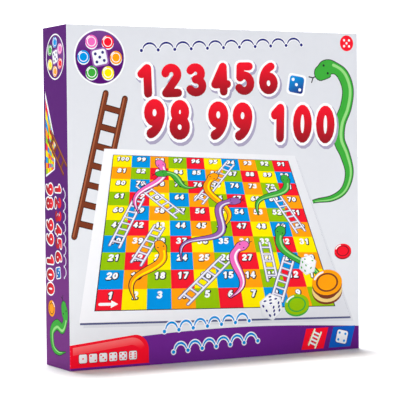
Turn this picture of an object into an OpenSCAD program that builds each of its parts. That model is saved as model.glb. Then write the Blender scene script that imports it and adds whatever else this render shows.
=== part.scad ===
// Boxed snakes and ladders game: a lift-off lid over a tray, and in the tray a folded card insert that
// holds a board folded in half, a rules leaflet, four counters and two dice.
// The box stands on its lower side, as a game stands on a shelf. The lid faces -Y, the tray's bottom
// faces +Y, and the origin is the middle of the side that the box stands on. Sizes are in millimetres.

/* [Box] */
// Width of the closed box
box_w = 268; // [250:1:320]
// Height of the closed box as it stands
box_h = 268; // [250:1:320]
// Depth of the closed box, from the lid's face to the tray's bottom
box_d = 48; // [40:1:80]
// Thickness of the greyboard of the lid and the tray
greyboard_t = 1.5; // [1:0.1:2.5]
// Thickness of the printed paper round the greyboard
wrap_t = 0.25; // [0.15:0.05:0.4]
// Width of the paper turned in over a rim
turn_in = 12; // [8:1:20]
// How far the tray's bottom stands out of the lid's rim
tray_proud = 1; // [0.5:0.5:6]

/* [Corner stays] */
// Length of a corner stay's leg along each wall
stay_leg = 10; // [6:1:20]
// Thickness of a corner stay
stay_t = 0.2; // [0.1:0.05:0.4]

/* [Folding board] */
// Thickness of a panel's greyboard
panel_t = 1.8; // [1.2:0.1:2.5]
// Thickness of the paper on each side of a panel
sheet_t = 0.2; // [0.1:0.05:0.3]
// Diameter of the folded paper that joins the two panels
fold_d = 0.5; // [0.4:0.1:1]

/* [Leaflet] */
// Thickness of one leaf of the leaflet
leaf_t = 0.4; // [0.2:0.1:0.8]
// Diameter of the leaflet's fold
leaflet_fold_d = 0.4; // [0.3:0.1:0.6]

/* [Counters and dice] */
// Diameter of a counter
counter_d = 16; // [12:0.5:20]
// Height of a counter
counter_h = 4.5; // [3:0.5:8]
// Width of the raised rim round a counter's dish
counter_rim = 2; // [1:0.25:4]
// Depth of the dish in each face of a counter
counter_dish = 0.6; // [0.2:0.1:1.2]
// Bevel on a counter's edges
counter_bevel = 0.5; // [0.2:0.1:1]
// Side of a die
die_side = 15; // [12:0.5:18]
// Depth taken off each corner of a die
die_corner = 2.2; // [1:0.1:2.6]
// Diameter of a pip on a die
pip_d = 2.6; // [1.6:0.1:3]
// Depth of a pip
pip_depth = 0.6; // [0.3:0.1:1]

/* [Insert] */
// Thickness of the folded card
card_t = 0.8; // [0.5:0.1:1.5]
// Place of the long divider's left side, to the right of the box's middle
divider_x = -1.15; // [-4:0.05:2]
// Height of the counters' compartment, and of the dice's below it
row_h = 33; // [24:1:44]

/* [Clearances] */
// Running clearance all round between the lid and the tray
slip_gap = 0.6; // [0.4:0.1:1.5]
// Gap between the tray's rim and the lid's inner face
rim_gap = 0.1; // [0.05:0.05:0.5]
// Gap between the two sheets of paper that meet at a fold of the wrap
crease_gap = 0.05; // [0.03:0.01:0.1]
// Slit between two walls of a greyboard blank at a corner
corner_slit = 0.1; // [0.05:0.05:0.3]
// Clearance all round between the insert and the tray's turned-in paper
insert_gap = 0.35; // [0.2:0.05:0.8]
// Gap under whatever lies flat on a floor
lay_gap = 0.1; // [0.05:0.05:0.3]
// Gap between one card of the insert and the next
card_gap = 0.1; // [0.05:0.05:0.2]
// Gap under whatever stands on the lower edge of its compartment
seat_gap = 0.3; // [0.2:0.05:0.6]
// Finger gap over the board
board_head_gap = 6.2; // [4.5:0.1:10]
// Finger gap over the leaflet
leaflet_head_gap = 14; // [8:1:30]
// Gap beside the free edge of a board or leaflet
edge_gap = 0.5; // [0.3:0.1:0.8]
// Gap beside the board's fold, where the fold swings
spine_gap = 1.6; // [1.3:0.1:3]
// Gap beside the leaflet's fold
leaflet_spine_gap = 1; // [0.6:0.1:1.5]
// Gap between a fold and the edges that it joins
fold_gap = 0.1; // [0.05:0.05:0.2]
// Gap between the board's two printed faces when it is folded
face_gap = 0.3; // [0.2:0.05:0.6]
// Gap between the leaflet's two leaves
leaf_gap = 0.2; // [0.1:0.05:0.4]
// How far the insert's rim lies below the tray's rim
rim_drop = 0.7; // [0.3:0.1:2]
// How far the contents lie below the insert's rim
sink = 0.4; // [0.2:0.1:1]

/* [Hidden] */
$fn = 64;

// How far a cutting solid runs past the face that it cuts
over = 1;
mid_z = box_h / 2;

// Depths along Y, from the lid's face to the tray's bottom
lid_plate_y = -box_d / 2 + wrap_t;
lid_in_y = lid_plate_y + greyboard_t;
lid_rim_y = box_d / 2 - tray_proud;
tray_plate_y = box_d / 2 - wrap_t;
tray_in_y = tray_plate_y - greyboard_t;
tray_rim_y = lid_in_y + rim_gap;
insert_rim_y = tray_rim_y + rim_drop;
insert_foot_y = tray_in_y - lay_gap;
contents_y = insert_rim_y + sink;

// Outer sizes of the greyboard blanks, as [width, height]
lid_size = [box_w, box_h] - both(wrap_t);
tray_size = lid_size - both(greyboard_t + wrap_t + slip_gap + wrap_t);
insert_size = tray_size - both(greyboard_t + wrap_t + insert_gap);
insert_x1 = insert_size.x / 2;
insert_z0 = mid_z - insert_size.y / 2;
insert_z1 = mid_z + insert_size.y / 2;

// The room inside the insert's frame: the board on the left, and on the right a column of compartments
room_x = [card_t - insert_x1, insert_x1 - card_t];
room_z = [insert_z0 + card_t, insert_z1 - card_t];
board_x = [room_x[0], divider_x];
column_x = [divider_x + card_t, room_x[1]];
column_w = column_x[1] - column_x[0];
counter_row_z = [room_z[1] - row_h, room_z[1]];
dice_row_z = [counter_row_z[0] - card_t - row_h, counter_row_z[0] - card_t];
leaflet_row_z = [room_z[0], dice_row_z[0] - card_t];

// The folded board
panel_stack = panel_t + 2 * sheet_t;
board_back_y = contents_y + 2 * panel_stack + face_gap;
board_floor_y = board_back_y + lay_gap;
board_fold_x = board_x[0] + spine_gap;
board_fold_y = contents_y + panel_stack + face_gap / 2;
panel_x0 = board_fold_x + fold_d / 2 + fold_gap;
panel_x1 = board_x[1] - edge_gap;
panel_z0 = room_z[0] + seat_gap;
panel_z1 = room_z[1] - board_head_gap;

// The leaflet
leaflet_back_y = contents_y + 2 * leaf_t + leaf_gap;
leaflet_floor_y = leaflet_back_y + lay_gap;
leaflet_fold_x = column_x[1] - leaflet_spine_gap;
leaflet_fold_y = contents_y + leaf_t + leaf_gap / 2;
leaflet_x0 = column_x[0] + edge_gap;
leaflet_x1 = leaflet_fold_x - leaflet_fold_d / 2 - fold_gap;
leaflet_z0 = leaflet_row_z[0] + seat_gap;
leaflet_z1 = leaflet_row_z[1] - leaflet_head_gap;

// The rows of counters and dice
counter_z = counter_row_z[0] + seat_gap + counter_d / 2;
counter_floor_y = contents_y + counter_h + lay_gap;
die_z = dice_row_z[0] + seat_gap + die_side / 2;
die_floor_y = contents_y + die_side + lay_gap;

// Dice: the ball that rounds the corners, the pips' cutting ball and the pips' places on a face
die_ball_r = die_side * sqrt(3) / 2 - die_corner;
pip_ball_r = (pow(pip_d / 2, 2) + pow(pip_depth, 2)) / (2 * pip_depth);
pip_pitch = die_side / 4;
pip_slash = [[-1, 1], [1, -1]];
pip_corners = [[-1, 1], [1, -1], [1, 1], [-1, -1]];
pip_sides = [[-1, 0], [1, 0]];
pip_centre = [[0, 0]];
pip_places = [
    pip_centre,
    pip_slash,
    concat(pip_slash, pip_centre),
    pip_corners,
    concat(pip_corners, pip_centre),
    concat(pip_corners, pip_sides)
];
// The turn that brings a die's upper side to each side in turn, so that opposite sides add up to seven
pip_turns = [[0, 0, 0], [90, 0, 0], [0, 90, 0], [0, -90, 0], [-90, 0, 0], [180, 0, 0]];

// A size taken off at both ends of a width and a height
function both(t) = 2 * [t, t];

// Middle of one of count equal places along a row
function place_x(i, count) = column_x[0] + (i + 0.5) * column_w / count;

// A span made smaller by a gap at both ends
function inside(span, gap) = [span[0] + gap, span[1] - gap];

// A box between two opposite corners, whichever way round they are along Y
module block(x, y, z) {
    y0 = min(y[0], y[1]);
    translate([x[0], y0, z[0]])
        cube([x[1] - x[0], max(y[0], y[1]) - y0, z[1] - z[0]]);
}

// The same solid at both ends of the box's width
module left_and_right() {
    children();
    mirror([1, 0, 0]) children();
}

// The same solid at both ends of the box's height
module top_and_bottom() {
    children();
    translate([0, 0, box_h]) mirror([0, 0, 1]) children();
}

// The four L-shaped stays round the corners of a blank, which run out past its outer faces by out
module stays(size, plate_y, rim_y, out = 0) {
    way = sign(rim_y - plate_y);
    w = size.x / 2;
    z1 = mid_z + size.y / 2;
    y = [plate_y - way * out, rim_y + way * out];
    top_and_bottom() left_and_right() {
        block([w - stay_leg, w + out], y, [z1 - stay_t, z1 + out]);
        block([w - stay_t, w + out], y, [z1 - stay_leg, z1 + out]);
    }
}

// A greyboard blank folded into an open box: a plate, and four walls from it to the rim. A slit at
// each corner keeps one wall from the next.
module blank(size, plate_y, in_y, rim_y) {
    way = sign(rim_y - plate_y);
    w = size.x / 2;
    z0 = mid_z - size.y / 2;
    z1 = mid_z + size.y / 2;
    in_x = w - greyboard_t;
    in_z1 = z1 - greyboard_t;
    past_rim = [in_y, rim_y + way * over];
    difference() {
        block([-w, w], [plate_y, rim_y], [z0, z1]);
        block([-in_x, in_x], past_rim, [z0 + greyboard_t, in_z1]);
        top_and_bottom() left_and_right()
            block([in_x - corner_slit, in_x], past_rim, [in_z1 - over, z1 + over]);
        stays(size, plate_y, rim_y, over);
    }
}

// The paper round a blank: a face, four flaps down the walls, and four turn-ins over the rim
module wrap(size, plate_y, rim_y) {
    way = sign(rim_y - plate_y);
    w = size.x / 2;
    z1 = mid_z + size.y / 2;
    z0 = mid_z - size.y / 2;
    flap_y = [plate_y + way * crease_gap, rim_y];
    turned_y = [rim_y - way * turn_in, rim_y];
    in_x = w - greyboard_t;
    in_z = z1 - greyboard_t;
    turned_z = [mid_z * 2 - in_z + wrap_t + crease_gap, in_z - wrap_t - crease_gap];
    block([-w - wrap_t, w + wrap_t], [plate_y - way * wrap_t, plate_y], [z0 - wrap_t, z1 + wrap_t]);
    left_and_right() {
        block([w, w + wrap_t], flap_y, [z0 - wrap_t, z1 + wrap_t]);
        block([in_x - wrap_t, in_x], turned_y, turned_z);
    }
    top_and_bottom() {
        block([crease_gap - w, w - crease_gap], flap_y, [z1, z1 + wrap_t]);
        block([-in_x, in_x], turned_y, [in_z - wrap_t, in_z]);
    }
}

module lid_board() color("darkgray") blank(lid_size, lid_plate_y, lid_in_y, lid_rim_y);

module lid_wrap() color("ghostwhite") wrap(lid_size, lid_plate_y, lid_rim_y);

module lid_corner_stays() color("tan") stays(lid_size, lid_plate_y, lid_rim_y);

module tray_board() color("darkgray") blank(tray_size, tray_plate_y, tray_in_y, tray_rim_y);

module tray_wrap() color("purple") wrap(tray_size, tray_plate_y, tray_rim_y);

module tray_corner_stays() color("tan") stays(tray_size, tray_plate_y, tray_rim_y);

// The insert's frame: four walls of folded card that stand on the tray's bottom
module insert_frame() color("whitesmoke") {
    y = [insert_rim_y, insert_foot_y];
    left_and_right() block([room_x[1], insert_x1], y, [insert_z0, insert_z1]);
    top_and_bottom() block(inside(room_x, card_gap), y, [room_z[1], insert_z1]);
}

// The insert's dividers: one beside the board, and two across the column
module insert_dividers() color("whitesmoke") {
    y = [insert_rim_y, insert_foot_y];
    block([divider_x, column_x[0]], y, inside(room_z, card_gap));
    for (z = [dice_row_z[0], counter_row_z[0]]) block(inside(column_x, card_gap), y, [z - card_t, z]);
}

// A platform of folded card across a compartment: a floor, and a leg down each of its two sides
module platform(x, z, floor_y) {
    across = inside(x, card_gap);
    along = inside(z, card_gap);
    leg_y = [floor_y + card_t + crease_gap, insert_foot_y];
    block(across, [floor_y, floor_y + card_t], along);
    block([across[0], across[0] + card_t], leg_y, along);
    block([across[1] - card_t, across[1]], leg_y, along);
}

module board_platform() color("whitesmoke") platform(board_x, room_z, board_floor_y);

module leaflet_platform() color("whitesmoke") platform(column_x, leaflet_row_z, leaflet_floor_y);

module dice_platform() color("whitesmoke") platform(column_x, dice_row_z, die_floor_y);

module counter_platform() color("whitesmoke") platform(column_x, counter_row_z, counter_floor_y);

// A layer of the folded board, between two depths
module board_layer(y0, t) block([panel_x0, panel_x1], [y0, y0 + t], [panel_z0, panel_z1]);

module leaf_back_sheet() color("rebeccapurple") board_layer(contents_y, sheet_t);

module leaf_panel() color("darkgray") board_layer(contents_y + sheet_t, panel_t);

module leaf_face_sheet() color("gold") board_layer(contents_y + sheet_t + panel_t, sheet_t);

module base_face_sheet() color("gold") board_layer(board_back_y - panel_stack, sheet_t);

module base_panel() color("darkgray") board_layer(board_back_y - sheet_t - panel_t, panel_t);

module base_back_sheet() color("rebeccapurple") board_layer(board_back_y - sheet_t, sheet_t);

module board_fold() color("white")
    translate([board_fold_x, board_fold_y, panel_z0]) cylinder(d = fold_d, h = panel_z1 - panel_z0);

// A leaf of the leaflet, between two depths
module leaflet_leaf(y0) block([leaflet_x0, leaflet_x1], [y0, y0 + leaf_t], [leaflet_z0, leaflet_z1]);

module leaflet_front() color("white") leaflet_leaf(contents_y);

module leaflet_rear() color("white") leaflet_leaf(leaflet_back_y - leaf_t);

module leaflet_fold() color("white")
    translate([leaflet_fold_x, leaflet_fold_y, leaflet_z0])
        cylinder(d = leaflet_fold_d, h = leaflet_z1 - leaflet_z0);

// A round counter with bevelled edges and a shallow dish in each face
module counter(i) {
    r = counter_d / 2;
    dish_r = r - counter_rim;
    outline = [
        [0, counter_dish], [dish_r - counter_dish, counter_dish], [dish_r, 0],
        [r - counter_bevel, 0], [r, counter_bevel], [r, counter_h - counter_bevel],
        [r - counter_bevel, counter_h], [dish_r, counter_h],
        [dish_r - counter_dish, counter_h - counter_dish], [0, counter_h - counter_dish]
    ];
    translate([place_x(i, 4), contents_y + counter_h, counter_z])
        rotate([90, 0, 0]) rotate_extrude() polygon(outline);
}

module counter_red() color("crimson") counter(0);

module counter_blue() color("royalblue") counter(1);

module counter_green() color("limegreen") counter(2);

module counter_yellow() color("gold") counter(3);

// A die with rounded corners and dished pips, turned to show one of its sides
module die(i, turn) {
    translate([place_x(i, 2), contents_y + die_side / 2, die_z]) rotate(turn) difference() {
        intersection() {
            cube(die_side, center = true);
            sphere(r = die_ball_r);
        }
        for (side = [0 : 5]) rotate(pip_turns[side])
            for (place = pip_places[side])
                translate([place.x * pip_pitch, place.y * pip_pitch, die_side / 2 - pip_depth + pip_ball_r])
                    sphere(r = pip_ball_r, $fn = 32);
    }
}

module die_one() color("ivory") die(0, [-90, 0, 0]);

module die_two() color("ivory") die(1, [0, 90, 0]);

lid_board();
lid_wrap();
lid_corner_stays();
tray_board();
tray_wrap();
tray_corner_stays();
insert_frame();
insert_dividers();
board_platform();
leaflet_platform();
dice_platform();
counter_platform();
base_panel();
base_face_sheet();
base_back_sheet();
leaf_panel();
leaf_face_sheet();
leaf_back_sheet();
board_fold();
leaflet_rear();
leaflet_front();
leaflet_fold();
counter_red();
counter_blue();
counter_green();
counter_yellow();
die_one();
die_two();
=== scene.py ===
from itertools import chain
from typing import NamedTuple

import bmesh
import bpy
import numpy as np
from bpy.props import FloatProperty, FloatVectorProperty, PointerProperty
from mathutils import Matrix, Vector
from mathutils.geometry import delaunay_2d_cdt


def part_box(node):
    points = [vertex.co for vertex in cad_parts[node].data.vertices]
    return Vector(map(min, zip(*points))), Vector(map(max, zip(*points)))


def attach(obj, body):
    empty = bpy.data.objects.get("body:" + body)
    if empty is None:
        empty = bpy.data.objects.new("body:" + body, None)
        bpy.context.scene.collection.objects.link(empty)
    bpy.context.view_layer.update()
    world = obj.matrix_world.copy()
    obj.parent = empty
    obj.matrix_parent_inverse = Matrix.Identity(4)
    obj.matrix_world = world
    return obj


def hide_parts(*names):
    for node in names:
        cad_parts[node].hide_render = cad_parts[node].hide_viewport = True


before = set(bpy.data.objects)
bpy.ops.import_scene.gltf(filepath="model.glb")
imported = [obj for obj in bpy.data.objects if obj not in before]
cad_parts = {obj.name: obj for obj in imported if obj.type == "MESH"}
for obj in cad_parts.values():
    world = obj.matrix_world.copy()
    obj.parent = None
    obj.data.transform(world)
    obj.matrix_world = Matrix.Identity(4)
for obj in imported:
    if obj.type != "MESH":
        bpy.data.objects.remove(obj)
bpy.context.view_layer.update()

bl_info = {
    "name": "Boxed Snakes and Ladders Game",
    "version": (1, 0, 0),
    "blender": (4, 5, 0),
    "location": "View3D > Sidebar > Game Box",
    "description": "Dresses the solids of a boxed board game in printed paper, card and plastic",
    "category": "Object",
}

# A millimetre in metres
MM = 0.001
# Name of the flat layout of a box's print
PRINT_MAP = "OFBake"
# Gap round the folds on that layout, as a share of its width
MAP_GAP = 0.005
# Plane matrix of a sheet without a layout, which takes every point to the corner
NO_MAP = np.diag((0.0, 0.0, 1.0))
# Points of one print that lie closer than this are one, in millimetres
SAME_POINT = 1e-5
# Points of different faces that lie closer than this are merged, in millimetres
SAME_CORNER = 1e-4
# Share of a sheet's size within which a point lies on its edge
ON_EDGE = 1e-6
# How far the painted light and shade on a box's face leans to its right, as a share of its width: its ground
# is painted paler at its foot and darker towards its top
PAINTED_SHADE_LEAN = 0.35
# Stretch of a box's walls over which their ground turns paler, as shares of a wall's length: painted light,
# which on the lid's left wall lies towards the floor
PALER_FROM, PALER_TO = 0.6, 0.74
# Half the width of a figure's strokes, as a share of its height
FIGURE_HALF = 0.17
# Height of the band at the lid's sides, and its rise between them, in millimetres
BAND_EDGE, BAND_RISE = 19.5, 6.0
# Lower and upper edge of the red tab at the lid's side, in millimetres
TAB_EDGES = (2.0, 20.0)
# Points of the quarter circle round each corner of a box
CORNER_POINTS = 5
# Squares along a side of the board
SQUARES = 10
# Pips of each side of a die, on a three by three grid about its middle
PIPS = {
    1: [(0, 0)],
    2: [(-1, 1), (1, -1)],
    3: [(-1, 1), (0, 0), (1, -1)],
    4: [(-1, 1), (1, 1), (-1, -1), (1, -1)],
    5: [(-1, 1), (1, 1), (0, 0), (-1, -1), (1, -1)],
    6: [(-1, 1), (1, 1), (-1, 0), (1, 0), (-1, -1), (1, -1)],
}


def node_box(name):
    """Lowest and highest corner of a node at rest, in millimetres."""
    low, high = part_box(name)
    return np.array(low) / MM, np.array(high) / MM


# Properties


def length(name, description, millimetres):
    """A length property whose default is given in millimetres."""
    return FloatProperty(
        name=name, description=description, default=millimetres * MM, unit="LENGTH", precision=5
    )


def angle(name, description, degrees):
    """An angle property whose default is given in degrees."""
    return FloatProperty(name=name, description=description, default=np.radians(degrees), subtype="ANGLE")


def strength(name, description, value):
    """A property that is a plain number."""
    return FloatProperty(name=name, description=description, default=value)


def swatch(name, description, red, green, blue):
    """A colour property whose default is given as a printed swatch, from 0 to 255."""
    return FloatVectorProperty(
        name=name, description=description, subtype="COLOR_GAMMA", min=0, max=1,
        default=(red / 255, green / 255, blue / 255),
    )


class GameSizes(bpy.types.PropertyGroup):
    """Sizes of the dressed pieces that the solids leave open."""

    fold_radius: length("Fold radius", "Radius of the paper where it turns round an edge of the card", 0.5)
    rim_radius: length("Rim radius", "Radius of the paper at each edge of a rim", 0.3)
    rim_cover: length("Rim cover", "Thickness of the paper that passes over a rim", 0.05)
    hair: length("Hair gap", "Gap between the paper and the card that it is glued to", 0.02)
    paper: length("Paper", "Thickness of the paper round the card", 0.25)
    card: length("Card", "Thickness of the greyboard in a wall", 1.5)
    turn_in: length("Turn-in", "Width of the paper turned in over a rim", 12)
    board_margin: length("Board margin", "White margin round the squares of the board", 10)
    counter_rim: length("Counter rim", "Width of the raised rim of a counter", 2)
    counter_bead: length("Counter bead", "Radius along the outer edge of a counter's rim", 0.5)
    counter_dish: length("Counter dish", "Depth of the dish in a counter", 0.6)
    die_corner: length("Die corner", "Depth taken off each corner of a die", 2.2)
    die_edge: length("Die edge", "Radius along the edges of a die", 0.7)
    pip_width: length("Pip width", "Diameter of a pip", 2.6)
    pip_depth: length("Pip depth", "Depth of a pip", 0.6)


class GameInks(bpy.types.PropertyGroup):
    """Colours of the printed paper and of the plastic."""

    # Paper and shade are the two ends of the painted light and shade across the lid's face, paler at its
    # foot and darker towards its top; both are also colours of the printed pictures
    paper: swatch("Paper", "Ground of the lid's face", 233, 235, 239)
    shade: swatch("Shade", "Soft shade on the paper", 217, 219, 225)
    shadow: swatch("Shadow", "Shadow printed under the red figures", 166, 160, 186)
    white: swatch("White", "White print", 247, 247, 250)
    dark: swatch("Dark", "Outlines and figures", 38, 32, 44)
    purple: swatch("Purple", "Ground of the walls", 87, 20, 113)
    # Painted light: the paler end of the walls' purple ground
    plum: swatch("Plum", "Paler end of the walls", 114, 46, 126)
    violet: swatch("Violet", "Band across the lid's face", 110, 38, 142)
    lilac: swatch("Lilac", "Pale purple", 150, 96, 172)
    red: swatch("Red", "Bright red", 242, 26, 46)
    scarlet: swatch("Scarlet", "Red tab on the band", 255, 16, 44)
    deep_red: swatch("Deep red", "Lower end of the red figures", 146, 26, 36)
    glow: swatch("Glow", "Gloss printed on the red tab", 250, 122, 122)
    orange: swatch("Orange", "Orange squares", 255, 160, 14)
    yellow: swatch("Yellow", "Yellow squares", 255, 233, 0)
    green: swatch("Green", "Green squares", 146, 192, 8)
    blue: swatch("Blue", "Blue squares", 0, 146, 224)
    cobalt: swatch("Cobalt", "Blue badge", 14, 92, 192)
    navy: swatch("Navy", "Dark blue print and pips", 40, 42, 120)
    grass: swatch("Grass", "Green snakes", 62, 168, 60)
    leaf: swatch("Leaf", "Pale green on snakes", 150, 216, 130)
    pink: swatch("Pink", "Pink snakes", 240, 110, 190)
    tan: swatch("Tan", "Pale brown counters", 240, 206, 132)
    brown: swatch("Brown", "Brown ladders, and the sides of counters", 122, 58, 36)
    timber: swatch("Timber", "Light along the rails of brown ladders", 170, 98, 66)
    bark: swatch("Bark", "Dark edge of brown print", 70, 30, 22)
    steel: swatch("Steel", "Pale ladders", 226, 224, 240)
    slate: swatch("Slate", "Cut edge of the pictured board", 84, 88, 128)


class GameStage(bpy.types.PropertyGroup):
    """The camera, the floor and the light."""

    camera_place: FloatVectorProperty(
        name="Camera place", description="Where the camera stands", subtype="TRANSLATION", unit="LENGTH",
        default=(-0.6124, -1.1324, 0.1683),
    )
    azimuth: angle("Azimuth", "Turn of the camera round the box", -28.17)
    elevation: angle("Elevation", "Tilt of the camera down to the box", 1.74)
    roll: angle("Roll", "Turn of the camera about its own axis", -0.505)
    lens: FloatProperty(name="Lens", description="Focal length", unit="CAMERA", default=140.64)
    sky: strength("Sky", "Strength of the soft light from all round", 1.9)
    zenith: strength("Zenith", "Share of that light which comes from above", 0.07)
    top_light: strength("Top light", "Strength of the light overhead", 3.4)
    top_tilt: angle("Top light tilt", "How far the light overhead leans to the back", 9)
    top_turn: angle("Top light turn", "Turn of that lean from the back to the right", 10)
    top_softness: angle("Top light softness", "Width of the light overhead", 10)
    floor_reach: length("Floor reach", "How far the floor runs out to each side", 40000)
    floor: swatch("Floor", "Colour of the floor", 246, 246, 247)


# Shaders


class Shade:
    """A socket of a material. Python's operators on it add the Math nodes that work them out."""

    def __init__(self, tree, output=None):
        self.tree = tree
        self.output = output

    def node(self, kind, settings=None, inputs=None, output=0):
        """Adds a node of a kind: its settings are set first, then its sockets get values or links."""
        node = self.tree.nodes.new(kind)
        for name, value in (settings or {}).items():
            if name == "stops":
                ramp = node.color_ramp.elements
                for index, (place, grey) in enumerate(value):
                    stop = ramp[index] if index < len(ramp) else ramp.new(place)
                    stop.position = place
                    stop.color = (grey, grey, grey, 1)
            else:
                setattr(node, name, value)
        for key, value in (inputs or {}).items():
            if isinstance(value, Shade):
                self.tree.links.new(value.output, node.inputs[key])
            else:
                node.inputs[key].default_value = value
        return Shade(self.tree, node.outputs[output] if node.outputs else None)

    def math(self, operation, first, second):
        """A Math node on two values or sockets."""
        return self.node("ShaderNodeMath", {"operation": operation}, {0: first, 1: second})

    def __add__(self, other):
        return self.math("ADD", self, other)

    def __mul__(self, other):
        return self.math("MULTIPLY", self, other)

    __radd__ = __add__
    __rmul__ = __mul__

    def attribute(self, name, output):
        """An attribute of the mesh: its Color, or its Fac where it is one number."""
        return self.node("ShaderNodeAttribute", {"attribute_name": name}, output=output)

    def ridges(self, scale):
        """Two sets of fine ridges, at right angles to each other in an upright sheet."""
        place = self.node("ShaderNodeTexCoord", output="Object")
        return [
            self.node("ShaderNodeTexWave", {"bands_direction": axis}, {"Vector": place, "Scale": scale})
            for axis in ("X", "Z")
        ]

    def noise(self, scale, detail=2.0, stretch=(1, 1, 1)):
        """Noise on the object's own coordinates: scale is in features a metre."""
        place = self.node("ShaderNodeTexCoord", output="Object")
        place = self.node("ShaderNodeMapping", None, {"Vector": place, "Scale": stretch})
        return self.node("ShaderNodeTexNoise", None, {"Vector": place, "Scale": scale, "Detail": detail})

    def ramp(self, *stops):
        """This value through a ramp of grey stops."""
        return self.node("ShaderNodeValToRGB", {"stops": stops}, {"Fac": self})

    def blend(self, amount, first, second, kind="MIX"):
        """Two colours mixed by an amount."""
        settings = {"data_type": "RGBA", "blend_type": kind}
        return self.node("ShaderNodeMix", settings, {0: amount, 6: first, 7: second}, 2)

    def bump(self, height, distance, normal=None):
        """A normal pushed by a height, with the distance in metres."""
        inputs = {"Height": height, "Distance": distance}
        if normal:
            inputs["Normal"] = normal
        return self.node("ShaderNodeBump", None, inputs)


def new_material(name, build):
    """A material whose principled shader gets the sockets that build gives."""
    material = bpy.data.materials.new(name)
    material.use_nodes = True
    tree = material.node_tree
    tree.nodes.clear()
    shade = Shade(tree)
    surface = shade.node("ShaderNodeBsdfPrincipled", None, build(shade))
    shade.node("ShaderNodeOutputMaterial", None, {"Surface": surface})
    return material


def linear(colour):
    """A printed swatch as linear light."""
    colour = np.asarray(colour[:3], float)
    return np.where(colour <= 0.04045, colour / 12.92, ((colour + 0.055) / 1.055) ** 2.4)


def solid(colour):
    """A swatch as a socket's colour."""
    return (*linear(colour), 1.0)


def printed_paper(name, roughness, gloss, tooth, wave):
    """Printed paper: mottled ink that wears pale along the folds, on a toothed and wavy sheet."""

    def build(shade):
        ink = shade.attribute("ink", "Color")
        fold = shade.attribute("wear", "Fac")
        scuff = shade.noise(800, 4).ramp((0.55, 0), (0.7, 1)) * fold
        mottle = shade.noise(900, 3)
        colour = shade.blend(0.05, ink, shade.noise(160, 3), "OVERLAY")
        colour = shade.blend(scuff * 0.3, colour, (0.84, 0.83, 0.84, 1))
        grain = shade.bump(shade.noise(4200, 2), tooth)
        return {
            "Base Color": colour,
            "Roughness": mottle * 0.08 + scuff * 0.2 + roughness,
            "Specular IOR Level": gloss,
            "Normal": shade.bump(shade.noise(9, 1), wave, grain),
        }

    return new_material(name, build)


def linen_print(name, roughness, gloss):
    """Printed board paper with a fine woven emboss: two sets of ridges at right angles."""

    def build(shade):
        ink = shade.attribute("ink", "Color")
        level, upright = shade.ridges(330.0)
        weave = level * upright
        return {
            "Base Color": shade.blend(0.05, ink, shade.noise(160, 3), "OVERLAY"),
            "Roughness": weave * 0.1 + roughness,
            "Specular IOR Level": gloss,
            "Normal": shade.bump(weave, 0.00004, shade.bump(shade.noise(12, 1), 0.0004)),
        }

    return new_material(name, build)


def linen_paper(name, colour):
    """Plain embossed paper on the backs of the board."""

    def build(shade):
        level, upright = shade.ridges(260.0)
        weave = level + upright
        dark = linear(colour)
        worn = shade.noise(90, 5).ramp((0.35, 0), (0.75, 1))
        return {
            "Base Color": shade.blend(worn, (*dark * 0.8, 1), (*dark * 1.25 + 0.01, 1)),
            "Roughness": worn * 0.12 + 0.5,
            "Specular IOR Level": 0.25,
            "Normal": shade.bump(weave, 0.00006),
        }

    return new_material(name, build)


def fibre_card(name, base, fleck, stretch, depth):
    """Board or card: long fibres whose tone drops by a depth, flecks and a rough matt surface."""

    def build(shade):
        fibres = shade.noise(700, 5, stretch)
        flecks = shade.noise(1900, 2).ramp((0.60, 0), (0.72, 1))
        tone = fibres.ramp((0.3, 0), (0.7, 1))
        colour = shade.blend(tone, (*np.multiply(base, 1 - depth), 1), (*base, 1))
        return {
            "Base Color": shade.blend(flecks * 0.5, colour, (*fleck, 1)),
            "Roughness": fibres * 0.1 + 0.82,
            "Specular IOR Level": 0.15,
            "Normal": shade.bump(fibres, 0.0001),
        }

    return new_material(name, build)


def moulded_plastic(name, colour, roughness):
    """Glossy moulded plastic: faint flow marks, hair scratches and a soft orange peel."""

    def build(shade):
        tone = linear(colour)
        flow = shade.noise(120, 2, (1, 0.3, 1)).ramp((0.3, 0), (0.7, 1))
        scratches = shade.noise(2400, 3, (0.08, 1, 1)).ramp((0.56, 0), (0.68, 1))
        return {
            "Base Color": shade.blend(flow, (*tone * 0.9, 1), (*tone, 1)),
            "Roughness": scratches * 0.16 + roughness,
            "Specular IOR Level": 0.5,
            "Normal": shade.bump(shade.noise(500, 2), 0.00003),
        }

    return new_material(name, build)


def die_plastic(name, body, paint):
    """Plastic with painted pips: the pip attribute is how far inside a pip a point lies, in millimetres."""

    def build(shade):
        inside = shade.attribute("pip", "Fac")
        painted = (inside * 12.0 + 0.5).ramp((0.0, 0), (1.0, 1))
        cloud = shade.noise(200, 3).ramp((0.3, 0), (0.7, 1))
        plastic = shade.blend(cloud, (*linear(body) * 0.93, 1), solid(body))
        return {
            "Base Color": shade.blend(painted, plastic, solid(paint)),
            "Roughness": painted * 0.2 + cloud * 0.06 + 0.2,
            "Specular IOR Level": 0.5,
            "Normal": shade.bump(shade.noise(900, 2), 0.00002),
        }

    return new_material(name, build)


# Outlines


def arc(middle, radii, first, last, count):
    """Points of an ellipse's arc between two angles in degrees."""
    angle = np.radians(np.linspace(first, last, count))
    return np.asarray(middle, float) + np.column_stack((np.cos(angle), np.sin(angle))) * radii


def disc(middle, radius, count=28):
    """A closed circle, or an ellipse where the radius is a pair."""
    return arc(middle, np.broadcast_to(radius, 2), 0, 360, count + 1)[:-1]


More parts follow.
